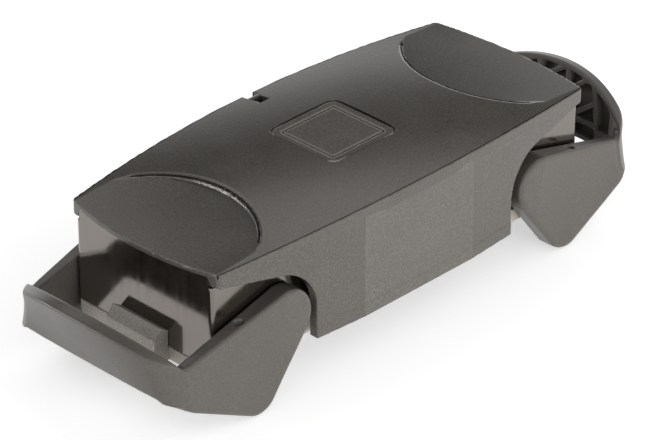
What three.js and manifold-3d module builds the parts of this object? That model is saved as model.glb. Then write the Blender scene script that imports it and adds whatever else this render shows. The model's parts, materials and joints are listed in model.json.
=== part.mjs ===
// Protection cover for an industrial rectangular connector, with a swinging locking lever at each end.
// Millimetres, +X along the cover, +Z up, Z = 0 on the surface that the open levers' heels stand on.
import * as THREE from 'three';
import { mergeVertices } from 'three/addons/utils/BufferGeometryUtils.js';
import Module from 'manifold-3d';

const wasm = await Module();
wasm.setup();

// ---- Driving dimensions ----------------------------------------------------------------------
const gap = 0.3; // play between pieces that touch

// Locking levers, in their own frame: pivot at the origin, X along the arm, Z up
const lever = {
  outer: 28.2, // half width over the arms at the pivot
  toeIn: 0.1, // how much narrower the pair gets for each millimetre towards the grip
  draft: 0.06, // and for each millimetre of height
  inner: 22.4, // half width between the arms
  eyeRadius: 7.5, // round end about the pivot
  topFall: 0.05, // how far the top edge falls for each millimetre towards the grip
  rearAngle: 41.4, // degrees that the rear edge falls below the arm
  heelReach: 18.4, // along the rear edge to the heel's centre
  heelRadius: 4.9,
  undersideAngle: 37.5, // degrees that the underside climbs from heel to grip
  armEnd: 25,
  droop: 11.5, // degrees that the open arm hangs below level
};

// Arched grip across the two arms
const grip = {
  rimTop: 14.7, // height of the arched rim at mid width
  rimReach: 38.6,
  rimRadius: 43.6, // of the arch, seen from the end
  rimLean: 0.82, // how far the rim runs back for each millimetre that it drops
  rimFloor: 6, // height at which the arch runs into the arms
  footReach: 36,
  footHeight: -0.9,
  footBow: 1.2, // how far the foot edge falls back at the corners
  footDrop: 2.2, // and how far it comes down there
  depth: 3.2,
  skin: 1.1,
  lip: 0.6, // how far the rim and the foot edge slope towards each other at the back
  cornerRadius: 2,
  rib: 1.1,
  ribPitch: 9,
  ribStart: -1.5,
};

const pivotX = 41.2;
const pivotAboveSkirt = 9.8;
const { degToRad } = THREE.MathUtils;
const heelTurn = degToRad(lever.rearAngle);
const along = new THREE.Vector2(Math.cos(heelTurn), -Math.sin(heelTurn));
const outward = new THREE.Vector2(-Math.sin(heelTurn), -Math.cos(heelTurn));
const heel = along.clone().multiplyScalar(lever.heelReach)
  .addScaledVector(outward, lever.eyeRadius - lever.heelRadius);
const droop = degToRad(lever.droop);
const heelDrop = heel.x * Math.sin(droop) - heel.y * Math.cos(droop) + lever.heelRadius;
const pivotZ = heelDrop; // the heels touch the surface at Z = 0
const skirtBottom = pivotZ - pivotAboveSkirt;

// Lid: a crowned pillow, bowed on all four edges
const lid = {
  halfLength: 58.9,
  halfWidth: 23.4,
  longBow: 4.5,
  endBow: 2.8,
  underside: skirtBottom + 23.1,
  cornerTop: skirtBottom + 26.7,
  edgeRise: 1.7,
  crown: 1.8,
  endCrown: 0.1,
  wall: 2.6,
};
const scoop = { radius: 26, start: 34.5, innerZ: skirtBottom + 27.5, outerZ: skirtBottom + 26.6 };
const badge = { width: 21.5, depth: 21, corner: 3, recess: 0.4 };
const eyelet = { y: 23.5, side: 3, notchWidth: 3.3, notchStart: 26.1, notchDepth: 2.1 };
const pocket = { halfLength: 54, halfWidth: 19 };
const sideRibs = { at: [-25, 0, 25], halfThickness: 0.8 };

// Side skirts below the lid's long edges
const skirt = { flatEnd: 17.7, flatY: 27.5, edgeX: 32.3, edgeY: 26.4, wall: 2.4, archRadius: 9.3 };

// Inner housing, sealing frame and gasket
const core = { halfLength: 59.5, halfWidth: 21.6, wall: 2.2, corner: 1.5, roof: 2 };
core.bottom = skirtBottom + 2.4;
core.top = lid.underside - gap;
const frame = { bottom: skirtBottom - 1.3, top: core.bottom - gap, wall: 4, lip: 1.5, lipHeight: 3 };
const gasket = { width: 1.8, proud: 0.6, height: 1.9 };
const tab = { halfWidth: 7.7, top: 7.8, front: 4.3, tip: 2.4, shoulder: 5.3, root: 0.7 };

// Pivots, screws and the peg slots in the arms
const pin = { radius: 2.5, headRadius: 4, head: 1.2, end: 26.4 };
const washer = { radius: 5.6, thickness: 0.8 };
const slot = { inner: 10.4, outer: 16.4, depth: 2.4, from: -150, to: -46 };
const liner = { thickness: 0.8, from: -66 };
const screw = { x: 49, y: 13, radius: 1.5, headRadius: 2.8, head: 1.8, shank: 4.2, boss: 3.6 };
screw.seat = core.top - core.roof - gap;

// ---- Helpers ---------------------------------------------------------------------------------
const alongYBasis = new THREE.Matrix4().makeRotationX(Math.PI / 2);

function solid(geometry) {
  const bare = geometry.clone();
  bare.deleteAttribute('normal');
  bare.deleteAttribute('uv');
  const merged = mergeVertices(bare, 1e-4);
  return new wasm.Manifold(new wasm.Mesh({
    numProp: 3,
    vertProperties: new Float32Array(merged.attributes.position.array),
    triVerts: new Uint32Array(merged.index.array),
  }));
}

function extrude(shape, depth, curveSegments = 10) {
  return new THREE.ExtrudeGeometry(shape, { depth, bevelEnabled: false, curveSegments });
}

// A shape drawn in X and Y, standing from z0 to z1
function standing(shape, z0, z1, segments) {
  return solid(extrude(shape, z1 - z0, segments).translate(0, 0, z0));
}

// A shape drawn in X and Z, reaching across from y0 to y1
function across(shape, y0, y1, segments) {
  return solid(extrude(shape, y1 - y0, segments).applyMatrix4(alongYBasis).translate(0, y1, 0));
}

function box(x0, x1, y0, y1, z0, z1) {
  const geometry = new THREE.BoxGeometry(x1 - x0, y1 - y0, z1 - z0);
  return solid(geometry.translate((x0 + x1) / 2, (y0 + y1) / 2, (z0 + z1) / 2));
}

// A round bar across the cover, and one that stands up
function crossRod(radius, x, z, y0, y1, sides = 24) {
  const geometry = new THREE.CylinderGeometry(radius, radius, y1 - y0, sides);
  return solid(geometry.translate(x, (y0 + y1) / 2, z));
}

function post(radius, x, y, z0, z1, sides = 20) {
  const geometry = new THREE.CylinderGeometry(radius, radius, z1 - z0, sides).rotateX(Math.PI / 2);
  return solid(geometry.translate(x, y, (z0 + z1) / 2));
}

function polygon(points) {
  return new THREE.Shape(points.map(([x, y]) => new THREE.Vector2(x, y)));
}

function roundedRectangle(halfX, halfY, radius) {
  const shape = new THREE.Shape();
  shape.absarc(halfX - radius, halfY - radius, radius, 0, Math.PI / 2);
  shape.absarc(radius - halfX, halfY - radius, radius, Math.PI / 2, Math.PI);
  shape.absarc(radius - halfX, radius - halfY, radius, Math.PI, 1.5 * Math.PI);
  shape.absarc(halfX - radius, radius - halfY, radius, 1.5 * Math.PI, 2 * Math.PI);
  return shape;
}

function ring(halfX, halfY, radius, wall, z0, z1) {
  const outerBlock = standing(roundedRectangle(halfX, halfY, radius), z0, z1, 3);
  const innerCorner = Math.max(radius - wall, 0.5);
  const hollow = roundedRectangle(halfX - wall, halfY - wall, innerCorner);
  return outerBlock.subtract(standing(hollow, z0 - 1, z1 + 1, 3));
}

// Closed skin through a row of sections, each a loop of [x, y, z] points with equal counts
function loft(sections) {
  const count = sections[0].length;
  const positions = sections.flat(2);
  const faces = [];
  for (let s = 0; s + 1 < sections.length; s += 1) {
    for (let i = 0; i < count; i += 1) {
      const a = s * count + i;
      const b = s * count + ((i + 1) % count);
      faces.push(a, b + count, b, a, a + count, b + count);
    }
  }
  const last = (sections.length - 1) * count;
  for (let i = 1; i + 1 < count; i += 1) {
    faces.push(0, i, i + 1);
    faces.push(last, last + i + 1, last + i);
  }
  const geometry = new THREE.BufferGeometry();
  geometry.setAttribute('position', new THREE.Float32BufferAttribute(positions, 3));
  geometry.setIndex(faces);
  return solid(geometry);
}

const group = new THREE.Group();

function addMesh(parent, name, body, colour, roughness, metalness = 0) {
  const shape = body.getMesh();
  const geometry = new THREE.BufferGeometry();
  geometry.setAttribute('position', new THREE.BufferAttribute(shape.vertProperties, 3));
  geometry.setIndex(new THREE.BufferAttribute(shape.triVerts, 1));
  geometry.computeVertexNormals();
  const material = new THREE.MeshStandardMaterial({ color: colour, roughness, metalness });
  const mesh = new THREE.Mesh(geometry, material);
  mesh.name = name;
  parent.add(mesh);
}

const plastic = 0x5e5c59;
const glossPlastic = 0x56544f;
const steel = 0xb9bbbd;
const rubber = 0x3c3b39;

// ---- Lid and skirts --------------------------------------------------------------------------
// Point on the lid's top; u runs -1 to 1 along the length and v -1 to 1 across the width
function lidTop(u, v) {
  const x = u * (lid.halfLength + lid.endBow * (1 - v * v));
  const y = v * (lid.halfWidth + lid.longBow * (1 - u * u));
  const rise = lid.edgeRise * (1 - u * u);
  const crown = (lid.endCrown + (lid.crown - lid.endCrown) * (1 - u * u)) * (1 - v * v);
  return [x, y, lid.cornerTop + rise + crown];
}

function lidSlab() {
  const stationCount = 33;
  const spanCount = 13;
  const sections = [];
  for (let i = 0; i < stationCount; i += 1) {
    const u = -1 + (2 * i) / (stationCount - 1);
    const top = [];
    const bottom = [];
    for (let j = 0; j < spanCount; j += 1) {
      const v = -1 + (2 * j) / (spanCount - 1);
      const point = lidTop(u, v);
      top.push(point);
      bottom.unshift([point[0], point[1], lid.underside]);
    }
    sections.push([...bottom, ...top]);
  }
  return loft(sections);
}

// Block that lowers one end of the lid beyond a crescent-shaped step
function endScoop(side) {
  const shape = new THREE.Shape();
  const centre = scoop.start + scoop.radius;
  const reach = degToRad(95);
  shape.absarc(centre, 0, scoop.radius, Math.PI - reach, Math.PI + reach);
  shape.lineTo(centre + 20, -scoop.radius - 3);
  shape.lineTo(centre + 20, scoop.radius + 3);
  const fall = (scoop.innerZ - scoop.outerZ) / (lid.halfLength + lid.endBow - scoop.start);
  const tilt = new THREE.Matrix4().set(1, 0, 0, 0, 0, 1, 0, 0, -fall, 0, 1, 0, 0, 0, 0, 1);
  const geometry = extrude(shape, 10, 16).translate(-scoop.start, 0, 0).applyMatrix4(tilt);
  geometry.translate(scoop.start, 0, scoop.innerZ);
  if (side < 0) geometry.rotateZ(Math.PI);
  return solid(geometry);
}

function mirroredPlan(points) {
  const upper = [...points, ...points.map(([x, y]) => [-x, y]).reverse()];
  return polygon([...upper, ...upper.map(([x, y]) => [x, -y]).reverse()]);
}

function skirts() {
  const cornerX = lid.halfLength - 0.3;
  const outerPlan = mirroredPlan([
    [cornerX, lid.halfWidth - 0.1],
    [skirt.edgeX, skirt.edgeY],
    [skirt.flatEnd, skirt.flatY],
  ]);
  const clear = core.halfWidth + gap;
  const innerPlan = mirroredPlan([
    [cornerX + 1, clear],
    [cornerX - 6, clear],
    [skirt.edgeX, skirt.edgeY - skirt.wall],
    [skirt.flatEnd, skirt.flatY - skirt.wall],
  ]);
  const archTop = pivotZ + skirt.archRadius;
  const profile = new THREE.Shape();
  profile.moveTo(-cornerX, lid.underside + 1);
  profile.lineTo(-cornerX, lid.underside);
  profile.lineTo(-pivotX, archTop);
  profile.absarc(-pivotX, pivotZ, skirt.archRadius, Math.PI / 2, 0, true);
  profile.lineTo(skirt.archRadius - pivotX, skirtBottom);
  profile.lineTo(pivotX - skirt.archRadius, skirtBottom);
  profile.absarc(pivotX, pivotZ, skirt.archRadius, Math.PI, Math.PI / 2, true);
  profile.lineTo(cornerX, lid.underside);
  profile.lineTo(cornerX, lid.underside + 1);
  const shell = standing(outerPlan, 0, lid.cornerTop).subtract(standing(innerPlan, -1, lid.cornerTop + 1));
  return shell.intersect(across(profile, -40, 40));
}

function coverShell() {
  let shell = lidSlab();
  for (const side of [1, -1]) shell = shell.subtract(endScoop(side));
  const pocketTop = lid.cornerTop - lid.wall;
  const { halfLength, halfWidth } = pocket;
  const hollow = box(-halfLength, halfLength, -halfWidth, halfWidth, lid.underside - 1, pocketTop + 1);
  shell = shell.subtract(hollow).add(skirts());
  for (const x of sideRibs.at) {
    for (const side of [1, -1]) {
      const faces = [side * (core.halfWidth + gap), side * (skirt.edgeY - 1)].sort((a, b) => a - b);
      const rib = box(x - sideRibs.halfThickness, x + sideRibs.halfThickness, ...faces,
        skirtBottom + 2, lid.underside + 1);
      shell = shell.add(rib);
    }
  }
  for (const x of [-screw.x, screw.x]) {
    for (const y of [-screw.y, screw.y]) {
      shell = shell.add(post(screw.boss, x, y, lid.underside, pocketTop + 1.5));
      const holeTop = screw.seat + screw.shank + gap;
      shell = shell.subtract(post(screw.radius + gap, x, y, lid.underside - 1, holeTop));
    }
  }
  const panel = roundedRectangle(badge.width / 2, badge.depth / 2, badge.corner);
  const panelFloor = lidTop(0, 0)[2] - badge.recess;
  shell = shell.subtract(standing(panel, panelFloor, panelFloor + 5, 4));
  const half = eyelet.side / 2;
  shell = shell.subtract(box(-half, half, eyelet.y - half, eyelet.y + half, lid.underside - 1, 60));
  const notch = box(-eyelet.notchWidth / 2, eyelet.notchWidth / 2, eyelet.notchStart, 40,
    lid.cornerTop + lid.edgeRise - eyelet.notchDepth, 60);
  return shell.subtract(notch);
}

// ---- Inner housing, sealing frame and gasket -------------------------------------------------
function innerHousing() {
  const outline = roundedRectangle(core.halfLength, core.halfWidth, core.corner);
  let body = standing(outline, core.bottom, core.top, 3);
  const hollow = roundedRectangle(core.halfLength - core.wall, core.halfWidth - core.wall, 0.5);
  body = body.subtract(standing(hollow, core.bottom - 1, core.top - core.roof, 3));
  for (const x of [-pivotX, pivotX]) {
    body = body.subtract(crossRod(pin.radius + gap, x, pivotZ, -core.halfWidth - 1, core.halfWidth + 1));
  }
  for (const x of [-screw.x, screw.x]) {
    for (const y of [-screw.y, screw.y]) {
      body = body.subtract(post(screw.radius + gap, x, y, core.top - core.roof - 1, core.top + 1));
    }
  }
  const half = eyelet.side / 2;
  const slit = box(-half, half, core.halfWidth - 0.8, core.halfWidth + 1, core.top - 3, core.top + 1);
  return body.subtract(slit);
}

// Catch tab standing on the frame's end, leaning away from the housing
function catchTab(side) {
  const root = core.halfLength - 0.5;
  const shape = polygon([
    [root, frame.bottom],
    [core.halfLength + tab.front, frame.bottom],
    [core.halfLength + tab.front, skirtBottom + tab.shoulder],
    [core.halfLength + tab.tip, skirtBottom + tab.top],
    [core.halfLength + tab.root, core.bottom],
    [core.halfLength + tab.root, frame.top - 0.5],
    [root, frame.top - 0.5],
  ]);
  const solidTab = across(shape, -tab.halfWidth, tab.halfWidth);
  return side > 0 ? solidTab : solidTab.rotate([0, 0, 180]);
}

const gasketInset = (frame.wall - gasket.width) / 2;
const gasketTop = frame.bottom + gasket.height - gasket.proud;

function sealingFrame() {
  let body = ring(core.halfLength, core.halfWidth, core.corner, frame.wall, frame.bottom, frame.top);
  const lipSide = core.wall + gap;
  body = body.add(ring(core.halfLength - lipSide, core.halfWidth - lipSide, 0.6, frame.lip,
    frame.top - 0.5, frame.top + frame.lipHeight));
  const groove = ring(core.halfLength - gasketInset + gap, core.halfWidth - gasketInset + gap, core.corner,
    gasket.width + 2 * gap, frame.bottom - 1, gasketTop + gap);
  body = body.subtract(groove);
  for (const side of [1, -1]) body = body.add(catchTab(side));
  return body;
}

function sealingGasket() {
  return ring(core.halfLength - gasketInset, core.halfWidth - gasketInset, core.corner - gap,
    gasket.width, frame.bottom - gasket.proud, gasketTop);
}

// ---- Levers ----------------------------------------------------------------------------------
// Half width of the lever over its outer faces, which close in towards the grip and the top
function outerFace(x, z) {
  return Math.min(lever.outer, lever.outer - lever.toeIn * x - lever.draft * z);
}

function armOutline() {
  const shape = new THREE.Shape();
  const rearNormal = Math.PI + degToRad(90 - lever.rearAngle);
  const underside = degToRad(lever.undersideAngle);
  shape.moveTo(lever.armEnd, lever.eyeRadius - lever.topFall * lever.armEnd);
  shape.lineTo(0, lever.eyeRadius);
  shape.absarc(0, 0, lever.eyeRadius, Math.PI / 2, rearNormal);
  shape.absarc(heel.x, heel.y, lever.heelRadius, rearNormal, 1.5 * Math.PI + underside);
  const start = heel.clone().add(
    new THREE.Vector2(Math.sin(underside), -Math.cos(underside)).multiplyScalar(lever.heelRadius));
  shape.lineTo(lever.armEnd, start.y + (lever.armEnd - start.x) * Math.tan(underside));
  return shape;
}

function undersideHeight(x) {
  const underside = degToRad(lever.undersideAngle);
  const startX = heel.x + lever.heelRadius * Math.sin(underside);
  const startZ = heel.y - lever.heelRadius * Math.cos(underside);
  return startZ + (x - startX) * Math.tan(underside);
}

// Outer edges of the grip at a place across its width: foot and rim, as [x, z]
function gripEdges(y) {
  const arch = grip.rimTop - grip.rimRadius + Math.sqrt(grip.rimRadius ** 2 - y * y);
  const rimZ = Math.max(arch, grip.rimFloor);
  const curve = (y / lever.outer) ** 4;
  const straight = outerFace(grip.footReach, rimZ) - grip.cornerRadius;
  const turn = Math.max(Math.abs(y) - straight, 0);
  const pull = grip.cornerRadius - Math.sqrt(Math.max(grip.cornerRadius ** 2 - turn * turn, 0));
  const rimX = grip.rimReach - grip.rimLean * (grip.rimTop - rimZ) - pull;
  const footX = grip.footReach - grip.footBow * curve - pull;
  const footZ = Math.max(grip.footHeight - grip.footDrop * curve, undersideHeight(footX));
  return { foot: [footX, footZ], rim: [rimX, rimZ] };
}

function gripStations(limit) {
  const stations = [];
  const steps = 14;
  for (let i = -steps; i <= steps; i += 1) stations.push((i / steps) * limit);
  return stations;
}

function gripBlock() {
  const corner = lever.inner + 0.4;
  const ends = [corner, corner + 0.7, corner + 1.4, corner + 2.4, lever.outer];
  const stations = [...ends.map((y) => -y).reverse(), ...gripStations(lever.inner), ...ends];
  const fillet = 4;
  return loft(stations.map((y) => {
    const { foot, rim } = gripEdges(y);
    if (Math.abs(y) > lever.inner) {
      const back = lever.armEnd - 3;
      return [[back, y, undersideHeight(back)], [foot[0], y, foot[1]], [rim[0], y, rim[1]],
        [back, y, grip.rimFloor]];
    }
    const turn = Math.max(Math.abs(y) - lever.inner + fillet, 0);
    const depth = grip.depth + fillet - Math.sqrt(fillet * fillet - turn * turn);
    return [[foot[0] - depth, y, foot[1] + grip.lip], [foot[0], y, foot[1]], [rim[0], y, rim[1]],
      [rim[0] - depth, y, rim[1] - grip.lip]];
  }));
}

// Space behind the grip's skin, open towards the pivot, that the ribs then cross
function gripPocket() {
  return loft(gripStations(lever.inner - 3).map((y) => {
    const { foot, rim } = gripEdges(y);
    const low = foot[1] + grip.lip + grip.rib;
    const high = rim[1] - grip.lip - grip.rib;
    return [[foot[0] - 10, y, low], [foot[0] - grip.skin, y, low], [rim[0] - grip.skin, y, high],
      [rim[0] - 10, y, high]];
  }));
}

function gripRibs() {
  const plate = () => new THREE.BoxGeometry(20, grip.rib, 40);
  const middleZ = (grip.rimTop + grip.footHeight) / 2;
  const ribs = [];
  for (let y = grip.ribStart - grip.ribPitch; y < lever.inner - 3; y += grip.ribPitch) {
    const diagonal = plate().rotateX(degToRad(-45));
    ribs.push(solid(plate().translate(grip.footReach, y, middleZ)));
    ribs.push(solid(diagonal.translate(grip.footReach, y + 0.8 * grip.ribPitch, middleZ)));
  }
  return ribs.reduce((all, rib) => all.add(rib));
}

// Everything outside one outer face
function outsideSlab(side) {
  const slab = new THREE.BoxGeometry(120, 20, 120);
  slab.translate(0, side * (lever.outer + 10), 0);
  const lean = new THREE.Matrix4().set(
    1, 0, 0, 0,
    -side * lever.toeIn, 1, -side * lever.draft, 0,
    0, 0, 1, 0,
    0, 0, 0, 1,
  );
  return solid(slab.applyMatrix4(lean));
}

function ringSector(inner, outer, from, to) {
  const shape = new THREE.Shape();
  shape.absarc(0, 0, outer, degToRad(from), degToRad(to));
  shape.absarc(0, 0, inner, degToRad(to), degToRad(from), true);
  return shape;
}

function leverBody() {
  let body = gripBlock().subtract(gripPocket().subtract(gripRibs()));
  for (const side of [1, -1]) {
    const innerFace = side * lever.inner;
    const span = [innerFace, side * lever.outer].sort((a, b) => a - b);
    body = body.add(across(armOutline(), ...span, 14)).subtract(outsideSlab(side));
    const floor = side * (lever.inner + slot.depth);
    const channel = ringSector(slot.inner, slot.outer, slot.from, slot.to);
    const mouth = innerFace - side;
    body = body.subtract(across(channel, Math.min(mouth, floor), Math.max(mouth, floor), 12));
    const bore = side * (pin.end + gap);
    body = body.subtract(crossRod(pin.radius + gap, 0, 0, Math.min(mouth, bore), Math.max(mouth, bore)));
    const seat = side * (core.halfWidth + washer.thickness + 2 * gap);
    body = body.subtract(crossRod(washer.radius + gap, 0, 0, Math.min(mouth, seat), Math.max(mouth, seat)));
  }
  return body;
}

function camLiner(side) {
  const edge = slot.outer - gap;
  const shape = ringSector(edge - liner.thickness, edge, liner.from, slot.to - 2);
  const near = side * (lever.inner + 0.1);
  const far = side * (lever.inner + slot.depth - gap);
  return across(shape, Math.min(near, far), Math.max(near, far), 12);
}

// ---- Pivots and screws -----------------------------------------------------------------------
function pivotPin(side) {
  const wallInside = core.halfWidth - core.wall - gap;
  const head = [side * (wallInside - pin.head), side * wallInside].sort((a, b) => a - b);
  const shank = [side * (wallInside - 0.2), side * pin.end].sort((a, b) => a - b);
  return crossRod(pin.headRadius, 0, 0, ...head).add(crossRod(pin.radius, 0, 0, ...shank));
}

function frictionWasher(side) {
  const faces = [side * (core.halfWidth + gap), side * (core.halfWidth + gap + washer.thickness)];
  faces.sort((a, b) => a - b);
  const disc = crossRod(washer.radius, 0, 0, ...faces);
  return disc.subtract(crossRod(pin.radius + gap, 0, 0, -40, 40));
}

function housingScrew() {
  const head = post(screw.headRadius, 0, 0, screw.seat - screw.head, screw.seat);
  return head.add(post(screw.radius, 0, 0, screw.seat - 0.2, screw.seat + screw.shank));
}

// ---- Assembly --------------------------------------------------------------------------------
addMesh(group, 'cover_shell', coverShell(), plastic, 0.55);
addMesh(group, 'inner_housing', innerHousing(), glossPlastic, 0.3);
addMesh(group, 'sealing_frame', sealingFrame(), plastic, 0.45);
addMesh(group, 'sealing_gasket', sealingGasket(), rubber, 0.8);

const ends = { right: 0, left: Math.PI };
const sides = { front: -1, back: 1 };
for (const [end, turn] of Object.entries(ends)) {
  const endGroup = new THREE.Group();
  endGroup.rotation.z = turn;
  group.add(endGroup);
  const pivotGroup = new THREE.Group();
  pivotGroup.position.set(pivotX, 0, pivotZ);
  endGroup.add(pivotGroup);
  const leverGroup = new THREE.Group();
  leverGroup.rotation.y = droop;
  pivotGroup.add(leverGroup);
  addMesh(leverGroup, `lever_${end}`, leverBody(), plastic, 0.5);
  for (const [name, side] of Object.entries(sides)) {
    const seen = turn === 0 ? side : -side;
    addMesh(leverGroup, `cam_liner_${end}_${name}`, camLiner(seen), steel, 0.35, 1);
    addMesh(pivotGroup, `pivot_pin_${end}_${name}`, pivotPin(seen), steel, 0.3, 1);
    addMesh(pivotGroup, `friction_washer_${end}_${name}`, frictionWasher(seen), steel, 0.4, 1);
    const screwGroup = new THREE.Group();
    screwGroup.position.set(screw.x, seen * screw.y, 0);
    endGroup.add(screwGroup);
    addMesh(screwGroup, `housing_screw_${end}_${name}`, housingScrew(), steel, 0.3, 1);
  }
}

export default group;
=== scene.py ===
"""Protection cover for an industrial rectangular connector, with a locking lever at each end.

Each piece is described as a signed distance in millimetres, turned into a mesh by dual contouring,
and given a procedural finish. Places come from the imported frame.
"""

import json
import math

import bmesh
import bpy
import numpy as np
from mathutils import Matrix, Vector


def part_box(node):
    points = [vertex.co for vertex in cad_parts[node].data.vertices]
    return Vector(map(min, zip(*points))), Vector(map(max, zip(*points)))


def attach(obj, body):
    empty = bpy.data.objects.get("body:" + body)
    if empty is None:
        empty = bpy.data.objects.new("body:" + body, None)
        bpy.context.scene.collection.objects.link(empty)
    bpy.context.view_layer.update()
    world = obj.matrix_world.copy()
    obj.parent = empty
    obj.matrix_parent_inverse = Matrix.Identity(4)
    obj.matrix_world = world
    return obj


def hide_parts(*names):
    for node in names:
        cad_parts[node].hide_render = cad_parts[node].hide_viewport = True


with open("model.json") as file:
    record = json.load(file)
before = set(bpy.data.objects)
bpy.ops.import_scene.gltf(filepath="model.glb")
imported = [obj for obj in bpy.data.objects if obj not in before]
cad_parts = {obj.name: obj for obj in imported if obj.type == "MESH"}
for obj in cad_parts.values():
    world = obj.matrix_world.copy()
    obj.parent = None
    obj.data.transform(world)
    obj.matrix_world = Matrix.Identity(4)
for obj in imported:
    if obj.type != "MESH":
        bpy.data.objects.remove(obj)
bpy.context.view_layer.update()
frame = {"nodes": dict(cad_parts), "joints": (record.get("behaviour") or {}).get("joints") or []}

MM = 0.001
GAP = 0.3


def box_mm(node):
    low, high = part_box(node)
    return np.array(low) / MM, np.array(high) / MM


# ---- Sizes, in millimetres, tied to the frame ---------------------------------------------------
SHELL_LOW, SHELL_HIGH = box_mm("cover_shell")
CORE_LOW, CORE_HIGH = box_mm("inner_housing")
RIM_LOW, RIM_HIGH = box_mm("sealing_frame")
GASKET_LOW, GASKET_HIGH = box_mm("sealing_gasket")
LEVER_LOW, LEVER_HIGH = box_mm("lever_right")
PIVOT_X = frame["joints"][0]["pos_m"][0] / MM
PIVOT_Z = frame["joints"][0]["pos_m"][2] / MM
SKIRT_BOTTOM = SHELL_LOW[2]
UNDERSIDE = CORE_HIGH[2] + GAP

# Lid
LID_LENGTH = 58.9  # half length at the corners
LID_WIDTH = 23.4  # half width at the corners
LONG_BOW = SHELL_HIGH[1] - LID_WIDTH
END_BOW = SHELL_HIGH[0] - LID_LENGTH
CORNER_TOP = UNDERSIDE + 3.6
EDGE_RISE = 1.7  # how much higher the long edges are at mid length
CROWN = 1.8  # and the middle above them
END_CROWN = 0.1
SCOOP_RADIUS = 26.0
SCOOP_START = 34.5  # where the crescent's step crosses the middle line
SCOOP_DEPTH = 1.35
SCOOP_END_DEPTH = 0.6
SCOOP_TIP = 22.6  # half width at which the step runs out
SCOOP_LINE_END = 20.5
BADGE_X = 10.75  # the plain panel in the middle of the lid
BADGE_Y = 10.5
BADGE_CORNER = 2.6
BADGE_RECESS = 0.5  # depth of the panel
BADGE_BORDER = 2.4  # from the panel's edge to the line inside it
EYELET_Y = 23.5
EYELET_HALF = 1.5
NOTCH_HALF = 1.65
NOTCH_START = 26.1
NOTCH_DEPTH = 2.1
PANEL_TOP = CORNER_TOP + EDGE_RISE + CROWN - BADGE_RECESS
END_LIP = 1.0  # thickness of the lid's edge over the housing's ends
LIP_START = 55.0
SIDE_LIP = 0.8  # and at mid length
SIDE_BLOCK = 2.2  # extra thickness outside the housing's width
SIDE_BLOCK_START = 20.8
END_WALL_HALF = 20.6  # the housing's end walls rise under the lid this far across

# Skirts
FLAT_END = 17.7  # the skirt's flat middle ends here
FLAT_Y = 27.5
FACET_X = 32.3  # where its two leaning facets meet
FACET_Y = 26.4
CORNER_X = 58.6
CORNER_Y = 23.3
SKIRT_WALL = 2.4
ARCH_RADIUS = 9.3
ARCH_SIDE = PIVOT_X - ARCH_RADIUS
ARCH_LINE_LOW = (42.0, SKIRT_BOTTOM + 20.0)
ARCH_LINE_HIGH = (58.4, SKIRT_BOTTOM + 23.1)
SKIRT_RIBS = (-25.0, 0.0, 25.0)
SKIRT_RIB_HALF = 0.8
BAND_HEIGHT = 3.2  # the band along the skirt's foot
BAND_PROUD = 0.14

# Inner housing, frame and gasket
CORE_X = CORE_HIGH[0]
CORE_Y = CORE_HIGH[1]
CORE_WALL = 2.2
CORE_ROOF = 2.0
STIFFENERS = (-36.0, -12.0, 12.0, 36.0)
STIFFENER_HALF = 0.6
STIFFENER_DEPTH = 1.2
BORE_RADIUS = 2.8
RIM_WALL = 4.0
RIM_LIP_TOP = CORE_LOW[2] + 2.7
SEAL_WIDTH = 1.8
SEAL_ROUNDING = 0.55
TAB_HALF = 7.7
TAB_SHOULDER = SKIRT_BOTTOM + 5.3
TAB_CREST = SKIRT_BOTTOM + 7.8
TAB_ROOT = SKIRT_BOTTOM + 6.3
TAB_DEPTH = 2.4

# Levers, in their own frame
ARM_OUTER = LEVER_HIGH[1]
ARM_INNER = 22.4
TOP_OUTER = 27.7  # half width over the arms' top edges at the pivot
TOP_TOE_IN = 0.072  # how much narrower they get for each millimetre towards the grip
FOOT_TOE_IN = 0.04  # and the foot edges, from TOE_START on
TOE_START = 14.0
EYE_RADIUS = 7.5
EYE_DROP = 0.42  # flattens the top of the round eye
TOP_EDGE = 6.67
TOP_FALL = 0.056  # how far the top edge falls for each millimetre towards the grip
REAR_ANGLE = math.radians(41.4)
HEEL_REACH = 18.4  # along the rear edge to the heel's centre
HEEL_RADIUS = 4.9
UNDERSIDE_ANGLE = math.radians(37.5)
DROOP = math.radians(11.5)  # how far the open arm hangs below level
RIM_TOP = 14.7
RIM_REACH = 38.6
RIM_RADIUS = 41.2
RIM_LEAN = 0.66  # how far the rim runs back for each millimetre that it drops
RIM_FLOOR = 3.5  # height at which the rim's lean ends
FOOT_REACH = 36.0
FOOT_HEIGHT = -0.9
FOOT_BOW = 1.5  # how far the foot edge falls back at the corners
FOOT_DROP = 1.2  # and how far it comes down there
LIFT_START = 12.0  # the arms' undersides rise to the foot edge from here
LIFT_RUN = 16.0
GRIP_DEPTH = 3.2
GRIP_SKIN = 1.1  # left in front of the truss
GRIP_CORNER = 6.5
GRIP_FILLET = 2.2
TRUSS_HALF = 0.62  # half thickness of a rib
TRUSS_EDGE = ((19.6, 0.0), (18.6, 12.0))
TRUSS_SOLID_Y = -15.0  # the truss is filled in beyond this place and below this height
TRUSS_SOLID_Z = 3.3
POCKET_REACH = 9.0
SLOT_RADIUS = 13.4  # middle of the peg slot inside each arm
SLOT_HALF = 3.0
SLOT_DEPTH = 2.4
SLOT_FLOOR = 1.2  # closes the slot at the rear edge
SLOT_TURN = (-150, -46)
BORE_END = 26.7
SEAT_RADIUS = 5.9  # recess for the friction washer
SEAT_END = 23.0
DIMPLE = (12.0, 24.3, 6.4)
DIMPLE_RADIUS = 1.3


# ---- Distance shapes ----------------------------------------------------------------------------
def rounded_max(a, b, radius):
    """What two shapes share, with the edge where they meet rounded."""
    outside = np.hypot(np.maximum(a + radius, 0), np.maximum(b + radius, 0))
    return np.minimum(-radius, np.maximum(a, b)) + outside


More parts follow.
